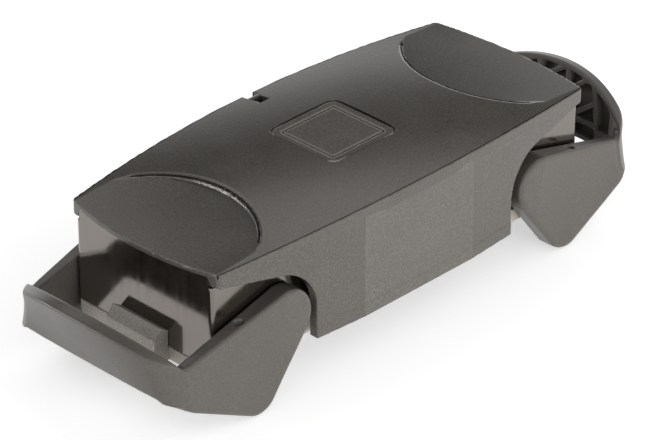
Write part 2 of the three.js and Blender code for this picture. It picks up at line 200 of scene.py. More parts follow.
def rounded_min(a, b, radius):
    """Two shapes joined, with a fillet where they meet."""
    inside = np.hypot(np.maximum(radius - a, 0), np.maximum(radius - b, 0))
    return np.maximum(radius, np.minimum(a, b)) - inside


def highest(*parts):
    result = parts[0]
    for part in parts[1:]:
        result = np.maximum(result, part)
    return result


def lowest(*parts):
    result = parts[0]
    for part in parts[1:]:
        result = np.minimum(result, part)
    return result


def smooth_step(value, width):
    """0 below -width / 2, 1 above width / 2, and smooth between."""
    t = np.clip(value / width + 0.5, 0, 1)
    return t * t * (3 - 2 * t)


def rounded_rectangle(x, y, half_x, half_y, radius):
    over_x = np.abs(x) - half_x + radius
    over_y = np.abs(y) - half_y + radius
    corner = np.hypot(np.maximum(over_x, 0), np.maximum(over_y, 0))
    return corner + np.minimum(np.maximum(over_x, over_y), 0) - radius


def between(value, low, high):
    return np.maximum(low - value, value - high)


def beyond_line(x, y, start, end):
    """Distance to the right of the line from start to end."""
    run_x = end[0] - start[0]
    run_y = end[1] - start[1]
    return ((x - start[0]) * run_y - (y - start[1]) * run_x) / math.hypot(run_x, run_y)


def near_segment(x, y, start, end):
    run_x = end[0] - start[0]
    run_y = end[1] - start[1]
    t = ((x - start[0]) * run_x + (y - start[1]) * run_y) / (run_x ** 2 + run_y ** 2)
    t = np.clip(t, 0, 1)
    return np.hypot(x - start[0] - t * run_x, y - start[1] - t * run_y)


# ---- Dual contouring ----------------------------------------------------------------------------
GRID_MARGIN = 2.37  # in cells, uneven so that flat faces don't lie on the grid
PULL_TO_MIDDLE = 0.02  # keeps a cell's point from running away along a flat face or an edge
FLAT_ANGLE = math.radians(0.005)  # faces closer to one plane than this are merged
SHARP_ANGLE = math.radians(35)


def slope_of(shape, points, reach):
    """Unit normals of a shape at points, from four samples round each."""
    total = np.zeros_like(points)
    for signs in ((1, -1, -1), (-1, -1, 1), (-1, 1, -1), (1, 1, 1)):
        offset = np.array(signs, float)
        moved = points + reach * offset
        total += offset * np.broadcast_to(shape(*moved.T), len(points))[:, None]
    length = np.linalg.norm(total, axis=1, keepdims=True)
    return total / np.maximum(length, 1e-12)


def surface_on_edges(shape, points, axis, step, start, stop):
    """Where the surface crosses grid edges that leave points along an axis, refined twice."""
    share = start / (start - stop)
    for _ in range(2):
        at = points.copy()
        at[:, axis] += step * share
        value = np.broadcast_to(shape(*at.T), len(at))
        share = np.clip(share - value / (stop - start), 0, 1)
    at = points.copy()
    at[:, axis] += step * share
    return at


def cell_points(normals, places, slot, count):
    """For each cell, the point closest to all its surface planes, held near their middle."""

    def gather(weights):
        return np.bincount(slot, weights, count)

    hits = gather(np.ones(len(slot)))
    mean = np.stack([gather(places[:, a]) for a in range(3)], 1) / hits[:, None]
    plane = (normals * places).sum(1)
    matrix = np.empty((count, 3, 3))
    right = np.empty((count, 3))
    for a in range(3):
        for b in range(a, 3):
            matrix[:, a, b] = gather(normals[:, a] * normals[:, b])
            matrix[:, b, a] = matrix[:, a, b]
        right[:, a] = gather(normals[:, a] * plane)
    right -= np.einsum("nab,nb->na", matrix, mean)
    matrix += PULL_TO_MIDDLE * np.eye(3)
    shift = np.linalg.solve(matrix, right[:, :, None])[:, :, 0]
    return mean + shift


def contour(shape, low, high, step):
    """Closed quad skin of a distance shape that keeps its sharp edges."""
    sizes = [int(math.ceil((b - a) / step)) + 5 for a, b in zip(low, high)]
    origin = np.array(low, float) - GRID_MARGIN * step
    x, y, z = (origin[a] + step * np.arange(sizes[a]) for a in range(3))
    field = shape(x[:, None, None], y[None, :, None], z[None, None, :])
    field = np.broadcast_to(field, sizes)
    inside = field < 0
    strides = (sizes[1] * sizes[2], sizes[2], 1)
    ids = []
    normals = []
    places = []
    quads = []
    for axis in range(3):
        one = strides[(axis + 1) % 3]
        two = strides[(axis + 2) % 3]
        first = np.take(inside, range(sizes[axis] - 1), axis)
        second = np.take(inside, range(1, sizes[axis]), axis)
        edge = np.argwhere(first != second)
        far_end = edge.copy()
        far_end[:, axis] += 1
        start = field[tuple(edge.T)].astype(float)
        stop = field[tuple(far_end.T)].astype(float)
        at = surface_on_edges(shape, origin + step * edge, axis, step, start, stop)
        normal = slope_of(shape, at, 0.02 * step)
        home = edge @ strides
        round_it = [home, home - one, home - one - two, home - two]
        quad = np.stack([round_it[2], round_it[3], round_it[0], round_it[1]], 1)
        flip = start > 0
        quad[flip] = quad[flip][:, ::-1]
        quads.append(quad)
        for cell in round_it:
            ids.append(cell)
            normals.append(normal)
            places.append(at)
    used, slot = np.unique(np.concatenate(ids), return_inverse=True)
    points = cell_points(np.concatenate(normals), np.concatenate(places), slot, len(used))
    floor = origin + step * np.stack(np.unravel_index(used, sizes), 1)
    points = np.clip(points, floor - 0.05 * step, floor + 1.05 * step)
    index = np.full(sizes[0] * sizes[1] * sizes[2], -1)
    index[used] = np.arange(len(used))
    return points, index[np.concatenate(quads)]


def build_mesh(name, points, quads):
    """Mesh of the quads, with faces in one plane merged."""
    mesh = bpy.data.meshes.new(name)
    mesh.vertices.add(len(points))
    mesh.vertices.foreach_set("co", (points * MM).astype(np.float32).ravel())
    mesh.loops.add(quads.size)
    mesh.loops.foreach_set("vertex_index", quads.astype(np.int32).ravel())
    mesh.polygons.add(len(quads))
    mesh.polygons.foreach_set("loop_start", np.arange(0, quads.size, 4, dtype=np.int32))
    mesh.update(calc_edges=True)
    mesh.validate()
    edit = bmesh.new()
    edit.from_mesh(mesh)
    bmesh.ops.dissolve_limit(edit, angle_limit=FLAT_ANGLE, verts=edit.verts, edges=edit.edges)
    for face in edit.faces:
        face.smooth = True
    edit.to_mesh(mesh)
    edit.free()
    return mesh


def make_piece(name, shape, low, high, step, material):
    points, quads = contour(shape, low, high, step)
    mesh = build_mesh(name, points, quads)
    mesh.set_sharp_from_angle(angle=SHARP_ANGLE)
    piece = bpy.data.objects.new(name, mesh)
    bpy.context.scene.collection.objects.link(piece)
    shading = piece.modifiers.new("even_shading", "WEIGHTED_NORMAL")
    shading.keep_sharp = True
    piece.data.materials.append(material)
    return piece


# ---- Finishes -----------------------------------------------------------------------------------
WARM_GLOSS = (1.0, 0.94, 0.88, 1.0)
WARM_SHADE = (1.0, 0.92, 0.83)


class Finish:
    """A Principled material with helpers for the nodes that feed it."""

    def __init__(self, name, roughness, metallic=0.0):
        self.material = bpy.data.materials.new(name)
        self.material.use_nodes = True
        self.tree = self.material.node_tree
        self.shader = self.tree.nodes["Principled BSDF"]
        self.shader.inputs["Roughness"].default_value = roughness
        self.shader.inputs["Metallic"].default_value = metallic
        self.shader.inputs["Specular Tint"].default_value = WARM_GLOSS
        self.place = self.tree.nodes.new("ShaderNodeTexCoord").outputs["Object"]

    def link(self, source, target):
        self.tree.links.new(source, target)

    def axes(self):
        """The three outputs, named X, Y and Z, of the place in object space."""
        split = self.tree.nodes.new("ShaderNodeSeparateXYZ")
        self.link(self.place, split.inputs["Vector"])
        return split.outputs

    def feed(self, *pairs):
        """Gives each socket a constant, or links it where the value is another node's output."""
        for socket, value in pairs:
            if isinstance(value, bpy.types.NodeSocket):
                self.link(value, socket)
            else:
                socket.default_value = value

    def noise(self, scale, detail=3.0, stretch=None):
        place = self.place
        if stretch:
            mapping = self.tree.nodes.new("ShaderNodeMapping")
            mapping.inputs["Scale"].default_value = stretch
            self.link(place, mapping.inputs["Vector"])
            place = mapping.outputs["Vector"]
        node = self.tree.nodes.new("ShaderNodeTexNoise")
        node.inputs["Scale"].default_value = scale
        node.inputs["Detail"].default_value = detail
        self.link(place, node.inputs["Vector"])
        return node.outputs["Fac"]

    def spread(self, value, low, high, start=0.3, end=0.7):
        node = self.tree.nodes.new("ShaderNodeMapRange")
        node.inputs["From Min"].default_value = start
        node.inputs["From Max"].default_value = end
        node.inputs["To Min"].default_value = low
        node.inputs["To Max"].default_value = high
        self.link(value, node.inputs["Value"])
        return node.outputs["Result"]

    def blend(self, factor, first, second, mode="MIX"):
        node = self.tree.nodes.new("ShaderNodeMix")
        node.data_type = "RGBA"
        node.blend_type = mode
        self.feed((node.inputs[0], factor), (node.inputs[6], first), (node.inputs[7], second))
        return node.outputs[2]

    def math(self, operation, first, second=0.0):
        node = self.tree.nodes.new("ShaderNodeMath")
        node.operation = operation
        self.feed((node.inputs[0], first), (node.inputs[1], second))
        return node.outputs[0]

    def bump(self, *heights):
        """Chains bumps; each is a height, its depth in metres and its strength."""
        normal = None
        for height, depth, strength in heights:
            node = self.tree.nodes.new("ShaderNodeBump")
            node.inputs["Distance"].default_value = depth
            node.inputs["Strength"].default_value = strength
            self.link(height, node.inputs["Height"])
            if normal:
                self.link(normal, node.inputs["Normal"])
            normal = node.outputs["Normal"]
        self.link(normal, self.shader.inputs["Normal"])

    def set(self, socket, source):
        self.link(source, self.shader.inputs[socket])


def shade(value, tint=WARM_SHADE):
    """Colour of one brightness, warm grey unless another tint is given."""
    return (value * tint[0], value * tint[1], value * tint[2], 1.0)


def inside_block(finish, low, high):
    """1 inside a block of object space given in millimetres, mirrored on X and Y, and 0 outside."""
    places = finish.axes()
    mask = 1.0
    for axis, start, stop in zip("XYZ", low, high):
        place = places[axis]
        if axis != "Z":
            place = finish.math("ABSOLUTE", place)
        over = finish.math("GREATER_THAN", place, start * MM)
        under = finish.math("LESS_THAN", place, stop * MM)
        mask = finish.math("MULTIPLY", finish.math("MULTIPLY", over, under), mask)
    return mask


# Painted shade lines on the lid, dark lines standing in for the shade in its grooves and under its
# edges: half widths, the inset of the lines along its edges, and the lowest height
CRESCENT_SHADE_LINE = 0.25
BORDER_SHADE_LINE = 0.16
INNER_SHADE_LINE = 0.14
EDGE_SHADE_LINE = 0.13
EDGE_SHADE_LINE_INSET = 0.4
SHADE_LINES_START = UNDERSIDE + 2.6


def lid_painted_shade_lines(finish):
    """1 in the painted shade lines: dark lines along the crescents, round the lid's panel and beside
    its long edges, standing in for the shade in the grooves and under the edges.
    """
    place = finish.axes()
    along = finish.math("ABSOLUTE", place["X"])
    across = finish.math("ABSOLUTE", place["Y"])

    def square(value):
        return finish.math("MULTIPLY", value, value)

    def length(first, second):
        return finish.math("SQRT", finish.math("ADD", square(first), square(second)))

    def past(value, limit):
        return finish.math("MAXIMUM", finish.math("SUBTRACT", value, limit * MM), 0.0)

    def near(distance, middle, half_width):
        away = finish.math("ABSOLUTE", finish.math("SUBTRACT", distance, middle * MM))
        return finish.math("LESS_THAN", away, half_width * MM)

    from_centre = length(finish.math("SUBTRACT", along, (SCOOP_START + SCOOP_RADIUS) * MM), across)
    crescent = near(from_centre, SCOOP_RADIUS + CRESCENT_SHADE_LINE, CRESCENT_SHADE_LINE)
    lines = finish.math("MULTIPLY", crescent, finish.math("LESS_THAN", across, SCOOP_LINE_END * MM))
    corner = length(past(along, BADGE_X - BADGE_CORNER), past(across, BADGE_Y - BADGE_CORNER))
    part = finish.math("MULTIPLY", along, 1 / (LID_LENGTH * MM))
    bow = finish.math("MULTIPLY", square(part), LONG_BOW * MM)
    unbowed = finish.math("ADD", across, bow)
    rows = (
        (corner, BADGE_CORNER, BORDER_SHADE_LINE),
        (corner, BADGE_CORNER - BADGE_BORDER, INNER_SHADE_LINE),
        (unbowed, LID_WIDTH + LONG_BOW - EDGE_SHADE_LINE_INSET, EDGE_SHADE_LINE),
    )
    for row in rows:
        lines = finish.math("MAXIMUM", lines, near(*row))
    on_top = finish.math("GREATER_THAN", place["Z"], SHADE_LINES_START * MM)
    return finish.math("MULTIPLY", lines, on_top)


def moulded_plastic(name, tone, roughness, grain=2300.0, grain_depth=0.00003, painted_light_zones=(), lines=None):
    """Glass-filled moulding: spark-eroded grain, pale glass flecks and faint flow mottling, with zones
    of painted light made paler and painted shade lines that also lose their gloss.
    """
    finish = Finish(name, roughness)
    cloudy = finish.spread(finish.noise(70.0, 4.0), 0.0, 1.0)
    speck = finish.noise(grain, 2.0)
    base = finish.blend(cloudy, shade(tone * 0.95), shade(tone * 1.05))
    fleck = finish.spread(speck, 0.0, 1.0, 0.42, 0.7)
    base = finish.blend(finish.math("MULTIPLY", fleck, 0.5), base, shade(tone * 1.9))
    # Painted light: each zone's colour is multiplied by its gain, so it looks more brightly lit.
    for low, high, light_gain in painted_light_zones:
        base = finish.blend(inside_block(finish, low, high), base, (light_gain, light_gain, light_gain, 1), "MULTIPLY")
    # Painted shade: the lines are darkened nearly to black and lose most of their gloss, standing in
    # for the shade in grooves and under edges.
    if lines:
        painted_shade_line = lines(finish)
        base = finish.blend(painted_shade_line, base, shade(0.01))
        finish.set("Specular IOR Level", finish.spread(painted_shade_line, 0.5, 0.05, 0.0, 1.0))
    finish.set("Base Color", base)
    rough = finish.spread(finish.noise(110.0, 5.0), roughness - 0.03, roughness + 0.04)
    finish.set("Roughness", rough)
    finish.bump((speck, grain_depth, 0.35), (finish.noise(420.0, 2.0), 0.00002, 0.12))
    return finish.material


def gloss_plastic(name, tone, roughness):
    """Polished tool finish with faint vertical draw marks under a hard skin."""
    finish = Finish(name, roughness)
    streak = finish.noise(900.0, 3.0, stretch=(1.0, 1.0, 0.04))
    cloudy = finish.spread(finish.noise(60.0, 4.0), 0.0, 1.0)
    base = finish.blend(cloudy, shade(tone * 0.92), shade(tone * 1.08))
    finish.set("Base Color", base)
    finish.set("Roughness", finish.spread(streak, roughness - 0.04, roughness + 0.08))
    finish.shader.inputs["Specular IOR Level"].default_value = 1.0
    finish.shader.inputs["IOR"].default_value = 1.7
    finish.shader.inputs["Coat Weight"].default_value = 1.0
    finish.shader.inputs["Coat Tint"].default_value = WARM_GLOSS
    finish.shader.inputs["Coat Roughness"].default_value = 0.1
    finish.bump((streak, 0.00001, 0.25), (finish.noise(2600.0, 2.0), 0.00001, 0.15))
    return finish.material


def gasket_rubber(name):
    finish = Finish(name, 0.75)
    dust = finish.spread(finish.noise(180.0, 6.0), 0.0, 1.0, 0.45, 0.75)
    base = finish.blend(dust, shade(0.012, (1, 1, 1)), shade(0.03, (1, 0.98, 0.95)))
    finish.set("Base Color", base)
    finish.set("Roughness", finish.spread(finish.noise(800.0, 3.0), 0.62, 0.85))
    finish.bump((finish.noise(2600.0, 3.0), 0.00003, 0.4))
    return finish.material


def turned_steel(name, tone, roughness, stretch):
    """Machined steel with fine tool lines along one direction."""
    finish = Finish(name, roughness, 1.0)
    lines = finish.noise(2500.0, 3.0, stretch=stretch)
    stain = finish.spread(finish.noise(260.0, 4.0), 0.0, 1.0)
    base = finish.blend(stain, shade(tone * 0.86, (1, 1, 0.99)), shade(tone, (1, 0.995, 0.985)))
    finish.set("Base Color", base)
    finish.set("Roughness", finish.spread(lines, roughness - 0.08, roughness + 0.12))
    finish.bump((lines, 0.00001, 0.3))
    return finish.material


# Painted light on the shell, zones made paler as if lit more brightly, each two corners and a gain: the
# skirts' middle facets and the lid's panel
MIDDLE_FACET_LIGHT = ((-1, FLAT_Y - 0.4, 0), (FLAT_END, FLAT_Y + 0.15, UNDERSIDE + 3), 1.25)
LID_PANEL_LIGHT = ((-1, -1, UNDERSIDE + 4), (BADGE_X - 0.2, BADGE_Y - 0.2, 60), 1.5)
SHELL_PAINTED_LIGHT = (MIDDLE_FACET_LIGHT, LID_PANEL_LIGHT)
SHELL_PLASTIC = moulded_plastic("shell_plastic", 0.055, 0.13, painted_light_zones=SHELL_PAINTED_LIGHT, lines=lid_painted_shade_lines)
LEVER_PLASTIC = moulded_plastic("lever_plastic", 0.054, 0.3, grain=2800.0, grain_depth=0.00002)
FRAME_PLASTIC = moulded_plastic("frame_plastic", 0.26, 0.4)
HOUSING_PLASTIC = gloss_plastic("housing_plastic", 0.009, 0.12)
GASKET_RUBBER = gasket_rubber("gasket_rubber")
STAINLESS_STEEL = turned_steel("stainless_steel", 0.62, 0.3, (1.0, 0.05, 1.0))
ZINC_SCREW = turned_steel("zinc_screw", 0.7, 0.24, (1.0, 1.0, 0.1))


# ---- Lid and skirts -----------------------------------------------------------------------------
def badge_edge(x, y):
    return rounded_rectangle(x, y, BADGE_X, BADGE_Y, BADGE_CORNER)


def groove(distance, depth, width):
    """Depth of a soft line drawn where distance is 0."""
    return depth * np.exp(-(distance / width) ** 2)


def lid_height(x, y):
    """Height of the crowned lid, lowered inside the two crescents and in the plain panel."""
    # u and v are 1 on the bowed edges; each depends on the other
    u = np.abs(x) / LID_LENGTH
    v = np.abs(y) / LID_WIDTH
    for _ in range(3):
        v = np.minimum(np.abs(y) / (LID_WIDTH + LONG_BOW * (1 - u * u)), 1.1)
        u = np.minimum(np.abs(x) / (LID_LENGTH + END_BOW * (1 - v * v)), 1.1)
    along = 1 - u * u
    crown = END_CROWN + (CROWN - END_CROWN) * along
    height = CORNER_TOP + EDGE_RISE * along + crown * (1 - v * v)
    into_scoop = SCOOP_RADIUS - np.hypot(np.abs(x) - SCOOP_START - SCOOP_RADIUS, y)
    run = np.clip((np.abs(x) - SCOOP_START) / (SHELL_HIGH[0] - SCOOP_START), 0, 1)
    depth = SCOOP_DEPTH + (SCOOP_END_DEPTH - SCOOP_DEPTH) * run
    depth = depth * np.clip(1 - (y / SCOOP_TIP) ** 2, 0, 1)
    height = height - depth * smooth_step(into_scoop, 0.4)
    rim_line = groove(into_scoop + 0.4, 0.3, 0.3) * smooth_step(depth - 0.2, 0.2)
    height = height - rim_line
    inner_line = groove(badge_edge(x, y) + BADGE_BORDER, 0.25, 0.28)
    return height + (PANEL_TOP - inner_line - height) * smooth_step(-badge_edge(x, y), 0.25)


def skirt_facets(along, across):
    """Plan of the skirts' outer faces: a flat middle and two leaning facets towards each end."""
    facet_one = beyond_line(along, across, (FACET_X, FACET_Y), (FLAT_END, FLAT_Y))
    facet_two = beyond_line(along, across, (CORNER_X, CORNER_Y), (FACET_X, FACET_Y))
    return highest(across - FLAT_Y, facet_one, facet_two)


def lid_plate(x, y, z):
    """Lid that overhangs the body all round, thicker along its sides, over a block that fills it."""
    across = np.abs(y)
    along = np.abs(x)
    top = lid_height(x, y)
    long_edge = 0.99 * (across - LID_WIDTH - LONG_BOW * (1 - (along / LID_LENGTH) ** 2))
    end_edge = 0.97 * (along - LID_LENGTH - END_BOW * (1 - (across / LID_WIDTH) ** 2))
    plan = rounded_max(long_edge, end_edge, 0.8)
    near_end = smooth_step(along - LIP_START, 4.0)
    near_side = smooth_step(across - SIDE_BLOCK_START, 1.6)
    thickness = SIDE_LIP + (END_LIP - SIDE_LIP) * near_end + SIDE_BLOCK * near_side
    plate = rounded_max(plan, z - top, 0.2)
    plate = np.maximum(plate, top - thickness - z)
    slot = highest(CORE_X - CORE_WALL - GAP - along, across - END_WALL_HALF - GAP)
    core = highest(skirt_facets(along, across), end_edge + 0.5, -slot)
    core = highest(core, UNDERSIDE - z, z - top + 0.3)
    return lowest(plate, core)


def cover_shell(x, y, z):
    """Lid with its eyelet and notch, and the skirts with their bands, arches and inner ribs."""
    across = np.abs(y)
    along = np.abs(x)
    slab = lid_plate(x, y, z)
    eyelet = highest(np.abs(x) - EYELET_HALF, np.abs(y - EYELET_Y) - EYELET_HALF)
    notch = highest(np.abs(x) - NOTCH_HALF, NOTCH_START - y, CORNER_TOP + EDGE_RISE - NOTCH_DEPTH - z)
    slab = rounded_max(slab, -eyelet, 0.15)
    slab = rounded_max(slab, -notch, 0.2)

    outer = skirt_facets(along, across)
    inner = outer + SKIRT_WALL
    outer = outer - BAND_PROUD * smooth_step(SKIRT_BOTTOM + BAND_HEIGHT - z, 0.35)
    wall = highest(outer, -inner, CORE_Y + GAP - across)
    wall = rounded_max(wall, along - CORNER_X, 0.5)
    wall = rounded_max(wall, SKIRT_BOTTOM - z, 0.3)
    wall = np.maximum(wall, z - UNDERSIDE - 1)
    below_line = beyond_line(along, z, ARCH_LINE_HIGH, ARCH_LINE_LOW)
    arch = rounded_max(ARCH_SIDE - along, below_line, ARCH_RADIUS)
    wall = rounded_max(wall, -arch, 0.35)
    ribs = lowest(*(np.abs(x - rib_x) - SKIRT_RIB_HALF for rib_x in SKIRT_RIBS))
    ribs = highest(ribs, CORE_Y + GAP - across, outer + 1, SKIRT_BOTTOM + 2 - z, z - UNDERSIDE - 1)
    return lowest(slab, wall, ribs)


def make_shell():
    high = SHELL_HIGH + np.array([0, 0, 0.2])
    piece = make_piece("lid_and_skirts", cover_shell, SHELL_LOW, high, 0.3, SHELL_PLASTIC)
    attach(piece, "cover")
    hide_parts("cover_shell")


# ---- Inner housing, sealing frame and gasket ----------------------------------------------------
def inner_housing(x, y, z):
    """Box, open below, with end walls that rise under the lid's lip and a stiffened roof."""
    body = rounded_rectangle(x, y, CORE_X, CORE_Y, 0.9)
    body = rounded_max(body, between(z, CORE_LOW[2], CORE_HIGH[2]), 0.25)
    raised = highest(CORE_X - CORE_WALL - np.abs(x), np.abs(x) - CORE_X, np.abs(y) - END_WALL_HALF)
    raised = highest(raised, CORE_LOW[2] + 4 - z, z - lid_height(x, y) + END_LIP + 0.1)
    body = np.minimum(body, raised)
    roof = CORE_HIGH[2] - CORE_ROOF
    hollow = rounded_rectangle(x, y, CORE_X - CORE_WALL, CORE_Y - CORE_WALL, 0.8)
    hollow = rounded_max(hollow, z - roof, 0.8)
    stiffeners = lowest(*(np.abs(x - rib_x) - STIFFENER_HALF for rib_x in STIFFENERS))
    stiffeners = lowest(stiffeners, np.abs(y) - STIFFENER_HALF)
    stiffeners = highest(stiffeners, roof - STIFFENER_DEPTH - z)
    hollow = rounded_max(hollow, -stiffeners, 0.3)
    body = rounded_max(body, -hollow, 0.25)
    bore = np.hypot(np.abs(x) - PIVOT_X, z - PIVOT_Z) - BORE_RADIUS
    return np.maximum(body, -bore)


def ring(x, y, inset, width):
    """Plan of a ring that follows the housing, inset from it."""
    outside = rounded_rectangle(x, y, CORE_X - inset, CORE_Y - inset, 1.0)
    inset = inset + width
    return rounded_max(outside, -rounded_rectangle(x, y, CORE_X - inset, CORE_Y - inset, 0.7), 0.2)


def catch_tab(x, y, z):
    """Wedge on the frame's end: upright front, chamfered crest and a back sloping to the housing."""
    along = np.abs(x)
    front = along - RIM_HIGH[0]
    shoulder = (RIM_HIGH[0], TAB_SHOULDER)
    crest = (CORE_X + TAB_DEPTH, TAB_CREST)
    root = (CORE_X, TAB_ROOT)
    wedge = rounded_max(front, beyond_line(along, z, shoulder, crest), 0.15)
    wedge = rounded_max(wedge, beyond_line(along, z, crest, root), 0.15)
    wedge = np.maximum(wedge, CORE_X + 0.05 - along)
    base = highest(front, z - CORE_LOW[2] + 2 * GAP, CORE_X - 0.5 - along)
    tab = np.maximum(np.minimum(wedge, base), RIM_LOW[2] - z)
    return rounded_max(tab, np.abs(y) - TAB_HALF, 0.2)


def sealing_frame(x, y, z):
    """Rim below the housing, with a lip inside it, a seat for the gasket and two catch tabs."""
    top = CORE_LOW[2] - GAP
    body = rounded_max(ring(x, y, 0.0, RIM_WALL), between(z, RIM_LOW[2], top), 0.25)
    lip = rounded_max(ring(x, y, CORE_WALL + GAP, 1.5), between(z, top - 0.5, RIM_LIP_TOP), 0.3)
    seat = ring(x, y, (RIM_WALL - SEAL_WIDTH) / 2 - GAP, SEAL_WIDTH + 2 * GAP)
    seat = np.maximum(seat, z - GASKET_HIGH[2] - GAP)
    body = np.maximum(np.minimum(body, lip), -seat)
    return np.minimum(body, catch_tab(x, y, z))


def sealing_gasket(x, y, z):
    outline = ring(x, y, (RIM_WALL - SEAL_WIDTH) / 2, SEAL_WIDTH)
    return rounded_max(outline, between(z, GASKET_LOW[2], GASKET_HIGH[2]), SEAL_ROUNDING)


def make_body_pieces():
    rows = (
        ("housing_box", inner_housing, "inner_housing", 0.4, HOUSING_PLASTIC, "housing_plastic"),
        ("seal_carrier", sealing_frame, "sealing_frame", 0.25, FRAME_PLASTIC, "frame_plastic"),
        ("seal_ring", sealing_gasket, "sealing_gasket", 0.3, GASKET_RUBBER, "gasket_rubber"),
    )
    for name, shape, node, step, material, slot in rows:
        low, high = box_mm(node)
        if shape is inner_housing:
            high[2] = CORNER_TOP
        piece = make_piece(name, shape, low, high, step, material)
        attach(piece, "cover")
        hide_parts(node)


# ---- Levers -------------------------------------------------------------------------------------
HEEL_X = HEEL_REACH * math.cos(REAR_ANGLE) - (EYE_RADIUS - HEEL_RADIUS) * math.sin(REAR_ANGLE)
HEEL_Z = -HEEL_REACH * math.sin(REAR_ANGLE) - (EYE_RADIUS - HEEL_RADIUS) * math.cos(REAR_ANGLE)
# Ribs of the grip's truss, as lines across the width and up the height
POSTS = [((top, 14.5), (top - 5.6, 0.2)) for top in (16.6, 7.3, -1.6, -10.6)]
DIAGONALS = [
    ((-1.6, 14.2), (5.2, 9.7)),
    ((-9.9, 14.1), (-3.8, 9.4)),
    ((-12.6, 8.6), (-6.1, 3.5)),
    ((7.4, 14.0), (14.0, 9.0)),
    ((-4.0, 9.2), (2.6, 3.5)),
    ((5.0, 9.4), (11.6, 3.5)),
]
CROSSBAR = ((-15.0, 3.6), (16.0, 2.6))


def arm_rear(x, z):
    """Distance beyond the straight rear edge, which touches the eye."""
    return -math.sin(REAR_ANGLE) * x - math.cos(REAR_ANGLE) * z - EYE_RADIUS


def arm_underside(x, z):
    """Distance below the sloping underside, which touches the heel."""
    down = (math.sin(UNDERSIDE_ANGLE), -math.cos(UNDERSIDE_ANGLE))
    return down[0] * (x - HEEL_X) + down[1] * (z - HEEL_Z) - HEEL_RADIUS


def arm_outline(x, z):
    """Side view of an arm: round eye, straight rear edge, round heel and sloping underside."""
    along_rear = math.cos(REAR_ANGLE) * x - math.sin(REAR_ANGLE) * z
    eye = np.hypot(x, z + EYE_DROP) - TOP_EDGE - EYE_DROP
    before = np.maximum(z + TOP_FALL * x - TOP_EDGE, -x)
    below = np.maximum(z, -along_rear)
    heel = rounded_max(arm_rear(x, z), arm_underside(x, z), HEEL_RADIUS)
    return np.maximum(heel, lowest(eye, before, below))


def arm_half_width(x, z):
    """Half width over the arms, which lean in towards the top edge and towards the grip."""
    bottom = HEEL_Z - HEEL_RADIUS / math.cos(UNDERSIDE_ANGLE) + (x - HEEL_X) * math.tan(UNDERSIDE_ANGLE)
    top = TOP_EDGE - TOP_FALL * x
    rise = np.clip((z - bottom) / np.maximum(top - bottom, 9.0), 0, 1)
    foot_width = ARM_OUTER - FOOT_TOE_IN * np.maximum(x - TOE_START, 0)
    top_width = TOP_OUTER - TOP_TOE_IN * np.maximum(x, 0)
    return foot_width + (top_width - foot_width) * rise


def foot_curve(y):
    """0 at mid width and 1 at the outer faces, staying low until near the corners."""
    return (y / ARM_OUTER) ** 4


def grip_face(y, z):
    """Place along the arm of the grip's outer face."""
    arch = RIM_TOP - RIM_RADIUS + np.sqrt(np.maximum(RIM_RADIUS ** 2 - y * y, 1.0))
    rim_z = np.maximum(arch, RIM_FLOOR)
    curve = foot_curve(y)
    rim_x = RIM_REACH - RIM_LEAN * (RIM_TOP - rim_z)
    foot_x = FOOT_REACH - FOOT_BOW * curve
    foot_z = FOOT_HEIGHT - FOOT_DROP * curve
    return foot_x + (rim_x - foot_x) * (z - foot_z) / (rim_z - foot_z)


def lever_arms(x, y, z, side, corner):
    """The two arms, with an underside that rises to the grip's foot edge between the corners."""
    arms = rounded_max(arm_outline(x, z), side, 1.3)
    lift = FOOT_DROP * (1 - foot_curve(y)) * np.clip((x - LIFT_START) / LIFT_RUN, 0, 1)
    arms = np.maximum(arms, arm_underside(x, z) + math.cos(UNDERSIDE_ANGLE) * lift)
    arms = rounded_max(arms, ARM_INNER - np.abs(y), 0.4)
    return rounded_max(arms, corner, 1.6)


def truss_pocket(y, z, arch, foot, face):
    """Hollow behind the grip's face, crossed by the ribs of the truss."""
    ribs = lowest(*(near_segment(y, z, a, b) for a, b in [*POSTS, *DIAGONALS, CROSSBAR])) - TRUSS_HALF
    solid_corner = np.maximum(y - TRUSS_SOLID_Y, z - TRUSS_SOLID_Z)
    opening = rounded_max(arch + 1.0, foot + 1.1, 0.5)
    opening = rounded_max(opening, beyond_line(np.abs(y), z, *TRUSS_EDGE), 1.0)
    opening = rounded_max(opening, -np.minimum(ribs, solid_corner), 0.7)
    return highest(opening, face + GRIP_SKIN, -(face + POCKET_REACH))


def arm_cuts(x, y, z):
    """Peg slot, pin bore, washer seat and dimple of each arm."""
    across = np.abs(y)
    radius = np.hypot(x, z)
    turn = np.degrees(np.arctan2(z, x))
    slot = highest(np.abs(radius - SLOT_RADIUS) - SLOT_HALF, across - ARM_INNER - SLOT_DEPTH)
    slot = highest(slot, between(turn, *SLOT_TURN), arm_rear(x, z) + SLOT_FLOOR)
    bore = np.maximum(radius - BORE_RADIUS, across - BORE_END)
    seat = np.maximum(radius - SEAT_RADIUS, across - SEAT_END)
    from_dimple = (x - DIMPLE[0]) ** 2 + (across - DIMPLE[1]) ** 2 + (z - DIMPLE[2]) ** 2
    return lowest(slot, bore, seat, np.sqrt(from_dimple) - DIMPLE_RADIUS)


